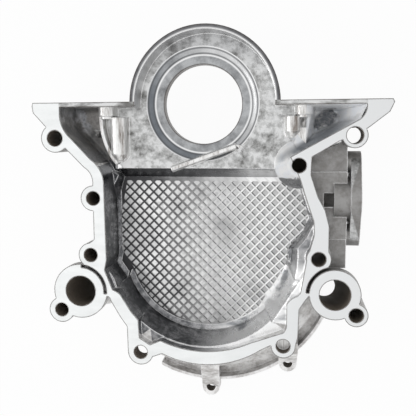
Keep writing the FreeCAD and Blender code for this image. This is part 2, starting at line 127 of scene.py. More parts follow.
# Inner edge of the flange at the left, in metres: y, x
LEFT_EDGE = [
    (-0.1820, -0.0483),
    (-0.1676, -0.0490),
    (-0.1613, -0.0545),
    (-0.1453, -0.0660),
    (-0.1286, -0.0752),
    (-0.1200, -0.0735),
    (-0.0585, -0.0742),
    (-0.0418, -0.0843),
    (-0.0254, -0.0998),
    (-0.0086, -0.1078),
    (0.0015, -0.1077),
]

# Bolt hole at the corner of the right pocket, which the flare surrounds
FLARE_HOLE = (0.0743, -0.0463, 0.0053)

# Round holes along Z, in metres: x, y, radius
HOLES = [
    (-0.1123, -0.0256, 0.0060),
    (-0.0830, -0.0719, 0.0053),
    (-0.0862, -0.1165, 0.0053),
    (-0.1113, -0.1612, 0.0053),
    (-0.0475, -0.1935, 0.0053),
    (0.0897, -0.1160, 0.0053),
    (0.1179, -0.1579, 0.0053),
    FLARE_HOLE,
    (0.1140, -0.0244, 0.0060),
    (0.0024, -0.2385, 0.0039),
    (0.0674, -0.2145, 0.0039),
]

# The blind dowel hole with a bright floor
DOWEL_HOLE = (0.0640, -0.1839, 0.0053)

# Water passages, in metres: x, y and radius at the flange, x, y and radius at the pump face
PASSAGES = [
    (-0.0953, -0.1456, 0.0120, -0.0900, -0.1523, 0.0090),
    (0.1021, -0.1428, 0.0115, 0.0968, -0.1495, 0.0090),
]
PASSAGE_MOUTH_Z = -0.014

# Colours that belong to one finish only
# Painted shadow beside the waffle's ribs
RIB_SHADOW = (0.02, 0.02, 0.02)
# Painted shade: brown of the dark inside of the holes
BORE_SHADE_BROWN = (0.34, 0.29, 0.24)
ARCH_SHELF_TONES = ((0.50, 0.505, 0.51), (0.16, 0.16, 0.16))
# Painted light: the right pocket's near-white clouds, as if lit from the left
RIGHT_POCKET_LIT_CLOUDS = (0.86, 0.88, 0.91)
# Painted shade: the left pocket's dark tones
LEFT_POCKET_SHADE_TONES = ((0.20, 0.20, 0.20), (0.36, 0.35, 0.34))

# Painted reflections, glints and patches in the pockets: centre, half length, half width, slant, softness,
# share, first and second tone
# Right pocket: dark bluish patches, painted reflections in its smooth funnel
RIGHT_REFLECTIONS = [
    ((0.0945, -0.0118), 0.0095, 0.0062, 0.40, 0.15, 1.0, (0.11, 0.12, 0.14), (0.36, 0.36, 0.36)),
    ((0.0860, -0.0275), 0.0270, 0.0036, 0.50, 0.45, 0.90, (0.13, 0.145, 0.165), (0.15, 0.16, 0.18)),
]
# Left pocket: a lighter warm patch, bluish and white painted glints, and a dark streak
LEFT_GLINTS_AND_PATCHES = [
    ((-0.0925, -0.0110), 0.0135, 0.0080, 0.0, 0.35, 0.9, (0.60, 0.58, 0.56), (0.34, 0.32, 0.31)),
    ((-0.1020, -0.0120), 0.0030, 0.0085, 0.5, 0.50, 0.8, (0.85, 0.87, 0.92), (0.50, 0.52, 0.56)),
    ((-0.0900, -0.0215), 0.0035, 0.0022, -0.5, 0.30, 1.0, (0.92, 0.92, 0.92), (0.92, 0.92, 0.92)),
    ((-0.0870, -0.0400), 0.0070, 0.0030, -0.8, 0.60, 0.8, (0.45, 0.45, 0.46), (0.12, 0.12, 0.13)),
]

# Painted highlights and painted shade lines at the edges of the cone about the crankshaft: radius and the
# setting that gives the tone, and half a width
CRANK_LINES = [
    (CRANK_CONE_RADIUS - 0.0014, "wall_stain_and_shade"),
    (CRANK_CONE_RADIUS, "wear_and_highlight"),
    (CRANK_RING_RADIUS + 0.0013, "wall_stain_and_shade"),
    (CRANK_RING_RADIUS, "wear_and_highlight"),
]
CRANK_LINE_HALF = 0.0010
CRANK_RIM_HALF = 0.0009

# Where tones change, in metres, from none to full: on Y for the lower rim and for the shelf above the arch
LOW_SKIN_Y = (-0.135, -0.180)
ARCH_SHELF_Y = (0.022, 0.042)

# The same on the inner wall: painted shade, mottled like stains, to the left and away from the rail, painted
# light on bare metal to the right and its further reach at the lower right, and painted shade on what faces the
# rail
LEFT_SHADE_X = (0.010, -0.060)
LEFT_SHADE_Y = (-0.010, -0.050)
LIT_X = (0.028, 0.055)
LIT_LOW_Y = (-0.125, -0.140)
SHADE_Y = (-0.110, -0.080)

# The same for bands on Y: none, full, full, none. The slope lies between shelf and floor
SLOPE_Y = (-0.066, -0.062, -0.050, -0.046)
RIGHT_WALL_Y = (-0.128, -0.120, -0.058, -0.050)

# The same on the waffle, where painted light brightens the ribs and painted shade darkens the cells, and on
# the milled face, where painted shade darkens it towards the fuel pump
RIB_LIGHT_X = (-0.050, 0.035)
FACE_RIGHT_X = (0.010, 0.080)

# The same on the cone about the crankshaft, along x + 0.6 y: painted light on the high side, and painted
# shade on the low side
CONE_BRIGHT = (0.005, 0.030)
CONE_DIM = (0.000, -0.035)

# Bands across a rib's pitch: the painted shadow beside the rib, and the rib itself
RIB_SHADOW_BAND = (0.60, 0.605, 0.715, 0.725)
RIB_BAND = (0.36, 0.38, 0.62, 0.64)

# Moves a pattern's grid off the planes of the casting, and the centre of the milling arcs off to one side
OFF_PLANE = (0.0137, 0.0071, 0.0053)
ARC_SHIFT = (0.35, 0.12, 0.0)

# Corners closer than this are one, and edges sharper than this stay sharp
MERGE_DISTANCE = 1e-6
SHARP_EDGE = math.radians(30)

# Camera that took the photograph: focal length in picture widths, place and axes in the object's frame
FOCAL_SHARE = 600.0 / 416.0
SENSOR_WIDTH = 36.0
CAMERA_PLACE = (0.0689, -0.0240, 0.445)
CAMERA_RIGHT = (0.99047, -0.00524, -0.13765)
CAMERA_UP = (-0.01137, 0.99275, -0.11963)
CAMERA_VIEW = (-0.13728, -0.12005, -0.98323)

# Lamps, in metres: place, target and size; and half the width of the floor and its gap below the casting
SIDE_LAMP = ((-1.1, -0.25, 0.45), (0.03, -0.09, -0.02), 0.7)
TOP_LAMP = ((-0.26, -0.22, 1.15), (0.0, -0.09, -0.02), 1.35)
FLOOR_HALF = 2.5
FLOOR_GAP = 0.0001


def colour(name, default, description):
    """A setting that is a colour."""
    return FloatVectorProperty(name=name, description=description, default=default, subtype="COLOR",
                               min=0.0, max=1.0, size=3)


def number(name, default, description, **kind):
    """A setting that is a number."""
    return FloatProperty(name=name, description=description, default=default, **kind)


class CastingSettings(bpy.types.PropertyGroup):
    wall: colour("Cast wall", (0.35, 0.35, 0.36), "Colour of the as-cast skin on the inner walls")
    # Also painted shade: the inner wall's dark left and slope, and dark lines at the crankshaft cone's edges
    wall_stain_and_shade: colour("Cast wall stain", (0.095, 0.098, 0.104), "Colour of the inner walls' darker patches")
    outer: colour("Outer skin", (0.34, 0.335, 0.33), "Colour of the housing and rim outside the flange")
    outer_dark: colour("Outer stain", (0.20, 0.19, 0.18), "Colour of the darker patches of the outside")
    trough: colour("Trough", (0.84, 0.835, 0.83), "Colour of the trough and lugs at the lower rim")
    trough_dark: colour("Trough stain", (0.32, 0.30, 0.285), "Colour of the lower rim's darker patches")
    shelf: colour("Shelf", (0.66, 0.665, 0.665), "Colour of the shelf plate around the crankshaft hole")
    shelf_dark: colour("Shelf stain", (0.17, 0.17, 0.165), "Colour of the stains on the shelf plate")
    waffle: colour("Waffle cell", (0.90, 0.90, 0.90), "Colour of the flat cells between the ribs")
    # Also painted shade: the rib tops at the left and the cells' darkening to the right
    waffle_dark: colour("Waffle rib", (0.075, 0.075, 0.078), "Colour of the ribs' sides and stained tops")
    arch: colour("Arch rim", (0.18, 0.18, 0.188), "Colour of the unmachined rim of the arch")
    # Partly painted highlight: the near-white of the ridges, round bosses and bar
    ridge: colour("Ridge", (0.90, 0.90, 0.89), "Colour of the bare ridges, bosses and bar on the shelf")
    ridge_dark: colour("Ridge stain", (0.24, 0.21, 0.19), "Colour of the dark streaks on the ridges")
    # Painted shade: the near-black inside of drilled holes
    bore: colour("Bore wall", (0.12, 0.105, 0.088), "Colour of the oily wall of a drilled hole")
    # Also painted highlight: bright edges, lit walls and pockets, and the light side of the crankshaft cone
    wear_and_highlight: colour("Worn edge", (0.92, 0.92, 0.92), "Colour of the bright worn edges of the casting")
    # Also painted shade: the cone's dim side and the inner wall where it faces the oil pan
    smear_and_shade: colour("Smear", (0.13, 0.145, 0.165), "Colour of the dark smears on bare metal")
    grain: number("Grain", 0.0009, "Size of the sand grain in the cast skin", unit="LENGTH", min=0.0001)
    edge: number("Edge rounding", 0.0009, "Radius of the soft edges of the casting", unit="LENGTH", min=0.0)


class MachiningSettings(bpy.types.PropertyGroup):
    face: colour("Milled face", (0.84, 0.855, 0.855), "Colour of the milled flange and pads")
    face_dark: colour("Milled shade", (0.74, 0.755, 0.755), "Colour of the milling marks' darker side")
    # Painted shade: the milled face's darker tone towards the fuel pump
    face_right_shade: colour("Milled face right", (0.715, 0.725, 0.73), "Colour of the face towards the fuel pump")
    # Painted shade: the thin dark line along milled edges, the arch's outer edge and the crankshaft hole's edge
    rim: colour("Milled edge", (0.060, 0.048, 0.040), "Colour of the thin oily line along a milled edge")
    pitch: number("Milling pitch", 0.0030, "Distance between two milling marks", unit="LENGTH", min=0.0002)
    turned: colour("Turned face", (0.42, 0.43, 0.44), "Colour of the turned faces around the crankshaft")


class StageSettings(bpy.types.PropertyGroup):
    side: number("Side lamp", 4.0, "Power of the soft lamp low at the left", unit="POWER", min=0.0)
    top: number("Top lamp", 0.5, "Power of the large soft lamp above the left side", unit="POWER", min=0.0)
    sky: number("Room light", 0.75, "Strength of the pale room around the object", min=0.0)
    floor: colour("Floor", (0.93, 0.93, 0.93), "Colour of the plain floor")
    floor_white: number("Floor whiteness", 0.95, "Share of plain white in the floor as seen or mirrored",
                        min=0.0, max=1.0)


def tree_of(material):
    """The node tree of a material or world, emptied."""
    material.use_nodes = True
    tree = material.node_tree
    tree.nodes.clear()
    return tree


def add(tree, kind, values=(), **settings):
    """A node of the kind given, with its own fields set.

    Values are pairs of an input and a number, colour or socket.
    """
    node = tree.nodes.new(kind)
    for name, value in settings.items():
        setattr(node, name, value)
    for name, value in values:
        if isinstance(value, bpy.types.NodeSocket):
            tree.links.new(value, node.inputs[name])
        else:
            node.inputs[name].default_value = value
    return node


def object_place(tree):
    """Object coordinates, plain and moved so that no flat face lies in a grid plane of the noise."""
    place = add(tree, "ShaderNodeTexCoord").outputs["Object"]
    moved = add(tree, "ShaderNodeVectorMath", [(0, place), (1, OFF_PLANE)], operation="ADD")
    return place, moved.outputs["Vector"]


def split(tree, vector):
    """The X, Y and Z of a vector."""
    node = add(tree, "ShaderNodeSeparateXYZ", [("Vector", vector)])
    return node.outputs["X"], node.outputs["Y"], node.outputs["Z"]


def noise(tree, place, scale, detail=4.0, roughness=0.55):
    """Grey cloud pattern with features one over scale across."""
    node = add(tree, "ShaderNodeTexNoise", [("Vector", place), ("Scale", scale), ("Detail", detail),
                                            ("Roughness", roughness)])
    return node.outputs["Fac"]


def spread(tree, value, low, high, to_low=0.0, to_high=1.0):
    """The value stretched so that low gives to_low and high gives to_high, and held beyond them."""
    node = add(tree, "ShaderNodeMapRange", [("Value", value), ("From Min", low), ("From Max", high),
                                            ("To Min", to_low), ("To Max", to_high)])
    return node.outputs["Result"]


def blend(tree, share, first, second):
    """Colour between two, by a share from 0 to 1."""
    node = add(tree, "ShaderNodeMix", data_type="RGBA")
    for index, value in ((0, share), (6, first), (7, second)):
        if isinstance(value, bpy.types.NodeSocket):
            tree.links.new(value, node.inputs[index])
        else:
            node.inputs[index].default_value = value if index == 0 else (*value, 1.0)
    return node.outputs[2]


def combine(tree, operation, first, second=0.0):
    """Two values put together by a Math operation."""
    node = add(tree, "ShaderNodeMath", [(0, first), (1, second)], operation=operation)
    return node.outputs["Value"]


def times(tree, first, second):
    """The product of two values."""
    return combine(tree, "MULTIPLY", first, second)


def between(tree, value, none_low, full_low, full_high, none_high, top=1.0):
    """The top share in a band of values, falling to 0 at both of its ends."""
    return times(tree, spread(tree, value, none_low, full_low),
                 spread(tree, value, none_high, full_high, 0.0, top))


def seen_share(tree):
    """1 for rays of the camera and for those that metal and glass pass on, 0 for light on things."""
    path = add(tree, "ShaderNodeLightPath").outputs
    return combine(tree, "MAXIMUM", path["Is Camera Ray"],
                   combine(tree, "MAXIMUM", path["Is Glossy Ray"], path["Is Transmission Ray"]))


def edge_share(tree, radius, sharp=0.95):
    """1 on a strip of the given radius along the edges and 0 away from them."""
    soft = add(tree, "ShaderNodeBevel", [("Radius", radius)], samples=6)
    flat = add(tree, "ShaderNodeNewGeometry")
    turn = add(tree, "ShaderNodeVectorMath", [(0, soft.outputs["Normal"]), (1, flat.outputs["Normal"])],
               operation="DOT_PRODUCT")
    return spread(tree, turn.outputs["Value"], 0.997, sharp)


def circle_share(tree, place, centre, radius, half):
    """1 on the circle about an upright axis through the centre, falling to 0 at half a width from it."""
    level = add(tree, "ShaderNodeVectorMath", [(0, place), (1, (1.0, 1.0, 0.0))], operation="MULTIPLY")
    away = add(tree, "ShaderNodeVectorMath", [(0, level.outputs["Vector"]), (1, (*centre, 0.0))],
               operation="DISTANCE")
    gap = combine(tree, "ABSOLUTE", combine(tree, "SUBTRACT", away.outputs["Value"], radius))
    return spread(tree, gap, half, 0.0)


def oval_share(tree, place, centre, half_long, half_wide, slant, soft):
    """1 inside an oval about an upright axis, falling to 0 over a soft share of its size.

    In the oval's own axes, turned by the slant, the share falls with sqrt((u / long)^2 + (v / wide)^2).
    """
    turned = add(tree, "ShaderNodeMapping", [("Vector", place), ("Location", (*centre, 0.0)),
                                             ("Rotation", (0.0, 0.0, slant)),
                                             ("Scale", (half_long, half_wide, 1.0))], vector_type="TEXTURE")
    level = add(tree, "ShaderNodeVectorMath", [(0, turned.outputs["Vector"]), (1, (1.0, 1.0, 0.0))],
                operation="MULTIPLY")
    away = add(tree, "ShaderNodeVectorMath", [(0, level.outputs["Vector"])], operation="LENGTH")
    return spread(tree, away.outputs["Value"], 1.0 + soft, 1.0 - soft)


def metal(tree, base, rough, height, depth, edge, metallic=1.0, shine=0.5):
    """Surface shader: patterns give colour, roughness and height, and edges look rounded by the edge radius."""
    soft = add(tree, "ShaderNodeBevel", [("Radius", edge)], samples=6)
    bump = add(tree, "ShaderNodeBump", [("Height", height), ("Distance", depth), ("Strength", 1.0),
                                        ("Normal", soft.outputs["Normal"])])
    shader = add(tree, "ShaderNodeBsdfPrincipled", [("Base Color", base), ("Metallic", metallic),
                                                    ("Roughness", rough), ("Specular IOR Level", shine),
                                                    ("Normal", bump.outputs["Normal"])])
    output = add(tree, "ShaderNodeOutputMaterial")
    tree.links.new(shader.outputs["BSDF"], output.inputs["Surface"])


def cast_skin(name, settings, tones, stain_scale, stain, rough, depth=0.00012, stretch=(1.0, 1.0, 1.0),
              rounding=1.0, metallic=1.0, left_shade=0.0, other_tones=None, other_y=None):
    """As-cast aluminium: fine sand grain, small pits, cloudy stains, streaks and bright edges, partly wear and
    partly painted highlight.

    Tones are the plain and the stained colour, and other tones are a second pair that the skin takes on along
    other_y. Stretch makes the stains longer along an axis, and rounding softens the edges more. A left shade
    share above 0 makes it the inner wall, with the painted light and shade that the next function adds.
    """
    material = bpy.data.materials.new(name)
    tree = tree_of(material)
    place, moved = object_place(tree)
    grain = noise(tree, moved, 1.0 / settings.grain, 5.0, 0.6)
    longer = add(tree, "ShaderNodeMapping", [("Vector", moved), ("Scale", stretch)]).outputs["Vector"]
    cloud = noise(tree, longer, stain_scale, 8.0, 0.66)
    streaks = noise(tree, longer, stain_scale * 3.7, 6.0, 0.70)
    pits = add(tree, "ShaderNodeTexVoronoi", [("Vector", moved), ("Scale", 0.35 / settings.grain)])
    pit = spread(tree, pits.outputs["Distance"], 0.0, 0.28)
    both = combine(tree, "ADD", times(tree, cloud, 0.6), times(tree, streaks, 0.4))
    share = spread(tree, both, *stain)
    base = blend(tree, share, *tones)
    if other_tones:
        along = split(tree, place)[1]
        base = blend(tree, spread(tree, along, *other_y), base, blend(tree, share, *other_tones))
    if left_shade:
        base = stains_and_painted_light(tree, settings, base, place, moved, cloud, both, left_shade)
    # Bright edges: partly wear, partly a painted highlight along the rounded edges
    wear_and_highlight = times(tree, edge_share(tree, settings.edge), spread(tree, cloud, 0.74, 0.54))
    base = blend(tree, wear_and_highlight, base, tuple(settings.wear_and_highlight))
    height = combine(tree, "ADD", grain, times(tree, pit, 0.35))
    uneven = combine(tree, "ADD", cloud, times(tree, grain, 0.5))
    roughness = spread(tree, uneven, 0.45, 1.05, *rough)
    metal(tree, base, roughness, height, depth, settings.edge * rounding, metallic)
    return material


def stains_and_painted_light(tree, settings, base, place, moved, cloud, both, left_shade):
    """Colour of the inner wall: painted shade, mottled like stains, at the left and on the slope, and painted
    light on bare bright metal at the right.

    The lit bare metal has slanted smears, and painted shade where it faces the oil pan. It starts further left
    at the lower right, and is thin on the wall below the right pocket.
    """
    dark = tuple(settings.wall_stain_and_shade)
    across, along, _ = split(tree, place)
    facing = add(tree, "ShaderNodeNewGeometry").outputs["Normal"]
    to_pan = split(tree, facing)[1]
    # Painted shade at the left and away from the rail, mottled by the stain clouds
    left = times(tree, spread(tree, across, *LEFT_SHADE_X), spread(tree, both, 0.38, 0.56, 0.25, 1.0))
    left = times(tree, left, spread(tree, along, *LEFT_SHADE_Y, 0.12, 1.0))
    base = blend(tree, times(tree, left, left_shade), base, dark)
    # Painted shade on the slope between shelf and floor
    base = blend(tree, times(tree, between(tree, along, *SLOPE_Y), 0.95), base, dark)
    # Painted light: bright bare metal on the walls at the right
    reach = combine(tree, "ADD", times(tree, cloud, 0.03), spread(tree, along, *LIT_LOW_Y, 0.0, 0.018))
    right = spread(tree, combine(tree, "ADD", across, reach), *LIT_X, 0.0, 0.9)
    beside = between(tree, along, *RIGHT_WALL_Y)
    right = times(tree, right, spread(tree, beside, 0.0, 1.0, 1.0, 0.25))
    slanted = add(tree, "ShaderNodeMapping", [("Vector", moved), ("Rotation", (0.0, 0.0, -0.55)),
                                              ("Scale", (0.5, 1.6, 1.0))])
    smears = spread(tree, noise(tree, slanted.outputs["Vector"], 42.0, 3.0, 0.5), 0.52, 0.62, 0.0, 0.8)
    # Painted shade on what faces the oil pan, in the smears' dark colour
    shaded = times(tree, spread(tree, to_pan, 0.35, 0.75, 0.0, 0.75), spread(tree, along, *SHADE_Y))
    smears = combine(tree, "MAXIMUM", smears, shaded)
    lit_metal = blend(tree, smears, tuple(settings.wear_and_highlight), tuple(settings.smear_and_shade))
    return blend(tree, right, base, lit_metal)


def pocket_skin(name, settings, tones, metallic, marks):
    """Skin of a pocket: clouds of two tones, with ragged oval marks, each mottled between its two tones. The
    tones and marks are painted light, shade, glints and reflections.
    """
    material = bpy.data.materials.new(name)
    tree = tree_of(material)
    place, moved = object_place(tree)
    fine = noise(tree, moved, 420.0, 6.0, 0.70)
    cloud = noise(tree, moved, 130.0, 5.0, 0.62)
    shift = times(tree, combine(tree, "SUBTRACT", cloud, 0.5), 0.012)
    ragged = add(tree, "ShaderNodeVectorMath", [(0, place), (1, shift)], operation="ADD").outputs["Vector"]
    base = blend(tree, spread(tree, cloud, 0.44, 0.60), *tones)
    for centre, half_long, half_wide, slant, soft, share, first, second in marks:
        oval = oval_share(tree, ragged, centre, half_long, half_wide, slant, soft)
        mottled = blend(tree, spread(tree, fine, 0.46, 0.64), first, second)
        base = blend(tree, times(tree, oval, share), base, mottled)
    rough = spread(tree, fine, 0.3, 0.7, 0.24, 0.40)
    metal(tree, base, rough, cloud, 0.00020, settings.edge * 3.0, metallic)
    return material


def waffle_skin(name, settings):
    """Ribbed floor: bright flat cells darkening to the right, ribs dark at the left and bright at the right,
    all painted light and shade, and a painted shadow in the corners beside the ribs.

    The ribs lie one pitch apart along u = (x + y - row) / root 2 and v = (x - y + row) / root 2. The share of a
    pitch is 0 in the middle of a cell and 0.5 in the middle of a rib. The painted shadow lies just beyond the
    rib, and it and the painted light on the ribs are darker along u.
    """
    material = bpy.data.materials.new(name)
    tree = tree_of(material)
    place, moved = object_place(tree)
    across, along, low = split(tree, place)
    along = combine(tree, "SUBTRACT", along, RIB_ROW_Y)
    rib = spread(tree, low, FLOOR_Z - RIB_DEPTH + 0.00005, FLOOR_Z - RIB_DEPTH + 0.00025)
    top = spread(tree, low, FLOOR_Z - 0.00015, FLOOR_Z - 0.00002)
    grain = noise(tree, moved, 1.0 / settings.grain, 4.0, 0.6)
    cloud = spread(tree, noise(tree, moved, 38.0, 6.0, 0.62), 0.40, 0.68)
    # Painted light across the waffle: 0 at the left, 1 at the right
    rib_light = spread(tree, combine(tree, "ADD", across, times(tree, cloud, -0.03)), *RIB_LIGHT_X)
    dark = tuple(settings.waffle_dark)
    mottles = spread(tree, noise(tree, moved, 260.0, 4.0, 0.65), 0.44, 0.62, 0.0, 0.30)
    stained = combine(tree, "MAXIMUM", times(tree, cloud, 0.50), mottles)
    base = blend(tree, stained, tuple(settings.waffle), dark)
    # Painted shade: the cells darken to the right
    base = blend(tree, times(tree, rib_light, 0.42), base, dark)
    u, v = (combine(tree, "FRACT", times(tree, combine(tree, operation, across, along),
                                         math.sqrt(0.5) / RIB_PITCH)) for operation in ("ADD", "SUBTRACT"))
    # Painted shadow in the cell corners beside the ribs, stronger at the right
    rib_shadow = combine(tree, "MAXIMUM", between(tree, u, *RIB_SHADOW_BAND), between(tree, v, *RIB_SHADOW_BAND, 0.55))
    dim = between(tree, u, *RIB_BAND, 0.15)
    base = blend(tree, times(tree, rib_shadow, spread(tree, rib_light, 0.0, 1.0, 0.30, 1.0)), base, RIB_SHADOW)
    base = blend(tree, times(tree, rib, 0.85), base, dark)
    # Painted light and shade on the rib tops: dark at the left, bright at the right, darker along u
    tops = blend(tree, rib_light, dark, tuple(settings.wear_and_highlight))
    base = blend(tree, top, base, blend(tree, times(tree, dim, rib_light), tops, dark))
    rough = spread(tree, combine(tree, "ADD", grain, top), 0.3, 1.7, 0.28, 0.44)
    metal(tree, base, rough, grain, 0.00010, settings.edge * 0.25)
    return material


def milled_face(name, settings, machining):
    """Milled face: faint arcs of the cutter, streaks, an even bright tone darkened by painted shade towards the
    fuel pump, and a thin dark line of painted shade at each edge.

    The narrow rail between the ears isn't milled: there the cast skin shows.
    """
    material = bpy.data.materials.new(name)
    tree = tree_of(material)
    place, moved = object_place(tree)
    shifted = add(tree, "ShaderNodeMapping", [("Vector", place), ("Location", ARC_SHIFT)])
    arcs = add(tree, "ShaderNodeTexWave", [("Vector", shifted.outputs["Vector"]),
                                           ("Scale", 0.31 / machining.pitch), ("Distortion", 2.5),
                                           ("Detail", 3.0), ("Detail Scale", 2.0)],
               wave_type="RINGS", rings_direction="Z")
    stretched = add(tree, "ShaderNodeMapping", [("Vector", moved), ("Scale", (1.0, 3.0, 1.0))])
    streak = noise(tree, stretched.outputs["Vector"], 47.0, 5.0, 0.6)
    grain = noise(tree, moved, 1130.0, 3.0, 0.5)
    mark = times(tree, arcs.outputs["Fac"], 0.02)
    shade = spread(tree, combine(tree, "ADD", mark, streak), 0.35, 0.75)
    base = blend(tree, shade, tuple(machining.face), tuple(machining.face_dark))
    across, along, _ = split(tree, place)
    rail = times(tree, spread(tree, along, RAIL_IN_Y - 0.0003, RAIL_IN_Y),
                 between(tree, across, RAIL_LEFT_X - 0.001, RAIL_LEFT_X, RAIL_RIGHT_X, RAIL_RIGHT_X + 0.001))
    skin = blend(tree, spread(tree, streak, 0.42, 0.60), tuple(settings.shelf), tuple(settings.shelf_dark))
    # Painted shade: the face darkens towards the fuel pump
    base = blend(tree, spread(tree, across, *FACE_RIGHT_X), base, tuple(machining.face_right_shade))
    base = blend(tree, rail, base, skin)
    # Painted shade: a thin dark line along each edge
    base = blend(tree, edge_share(tree, 0.0012, 0.985), base, tuple(machining.rim))
    height = combine(tree, "ADD", mark, grain)
    metal(tree, base, spread(tree, height, 0.3, 0.9, 0.30, 0.42), height, 0.000008, 0.0004)
    return material


def turned_face(name, settings, machining):
    """Turned face around the crankshaft: rings about the Z axis, cloudy stains, painted light and shade on the
    cone's two sides, and painted highlight and shade lines at its edges and at the hole's edge.
    """
    material = bpy.data.materials.new(name)
    tree = tree_of(material)
    place = add(tree, "ShaderNodeTexCoord").outputs["Object"]
    rings = add(tree, "ShaderNodeTexWave", [("Vector", place), ("Scale", 110.0), ("Distortion", 1.5),
                                            ("Detail", 3.0)], wave_type="RINGS", rings_direction="Z")
    cloud = spread(tree, noise(tree, place, 75.0, 7.0, 0.64), 0.42, 0.66)
    base = blend(tree, times(tree, cloud, 0.7), tuple(machining.turned), tuple(settings.wall_stain_and_shade))
    across, along, low = split(tree, place)
    slant = combine(tree, "ADD", across, times(tree, along, 0.6))
    on_cone = spread(tree, low, CRANK_RING_Z + 0.0001, CRANK_RING_Z + 0.0004)
    bright = spread(tree, slant, *CONE_BRIGHT, 0.0, 0.45)
    dim = spread(tree, slant, *CONE_DIM, 0.0, 0.80)
    # Painted light and shade on the cone's two sides
    base = blend(tree, times(tree, on_cone, bright), base, tuple(settings.wear_and_highlight))
    base = blend(tree, times(tree, on_cone, dim), base, tuple(settings.smear_and_shade))
    # Painted highlight and shade lines at the cone's edges
    for radius, tone in CRANK_LINES:
        line = times(tree, circle_share(tree, place, (0.0, 0.0), radius, CRANK_LINE_HALF), 0.9)
        base = blend(tree, line, base, tuple(getattr(settings, tone)))
    # Painted shade: a dark line at the edge of the crankshaft hole
    rim = circle_share(tree, place, (0.0, 0.0), CRANK_HOLE_RADIUS, CRANK_RIM_HALF)
    base = blend(tree, rim, base, tuple(machining.rim))
    rough = spread(tree, rings.outputs["Fac"], 0.0, 1.0, 0.26, 0.34)
    metal(tree, base, rough, rings.outputs["Fac"], 0.00001, 0.0005)
    return material


def arch_rim(name, settings, machining):
    """Unmachined rim of the arch: grey cast skin, with a dark painted shade line at the outside and a painted
    highlight along the inner edge.
    """
    material = bpy.data.materials.new(name)
    tree = tree_of(material)
    place = add(tree, "ShaderNodeTexCoord").outputs["Object"]
    cloud = spread(tree, noise(tree, place, 90.0, 7.0, 0.64), 0.40, 0.68)
    grain = noise(tree, place, 1.0 / settings.grain, 5.0, 0.6)
    base = blend(tree, cloud, tuple(settings.arch), tuple(settings.wall_stain_and_shade))
    outside = circle_share(tree, place, ARCH, ARCH_RADIUS, 0.0014)
    inside = circle_share(tree, place, ARCH, ARCH_INNER_RADIUS + 0.0003, 0.0014)
    # Painted shade at the outer edge, painted highlight along the inner edge
    base = blend(tree, times(tree, outside, 0.7), base, tuple(machining.rim))
    base = blend(tree, times(tree, inside, 0.9), base, tuple(settings.wear_and_highlight))
    metal(tree, base, spread(tree, grain, 0.3, 0.7, 0.30, 0.46), grain, 0.00012, settings.edge * 1.6)
    return material


def bore_wall(name, settings):
    """Drilled wall: near-black brown of two tones, painted shade of the deep holes, with the drill's rings."""
    material = bpy.data.materials.new(name)
    tree = tree_of(material)
    place = add(tree, "ShaderNodeTexCoord").outputs["Object"]
    bands = add(tree, "ShaderNodeTexWave", [("Vector", place), ("Scale", 200.0), ("Distortion", 1.2),
                                            ("Detail", 2.0)], bands_direction="Z")
    film = noise(tree, place, 300.0, 4.0, 0.6)
    base = blend(tree, times(tree, film, 0.6), tuple(settings.bore), BORE_SHADE_BROWN)
    rough = spread(tree, film, 0.3, 0.7, 0.6, 0.8)
    metal(tree, base, rough, bands.outputs["Fac"], 0.00006, 0.0003, metallic=0.0, shine=0.15)
    return material


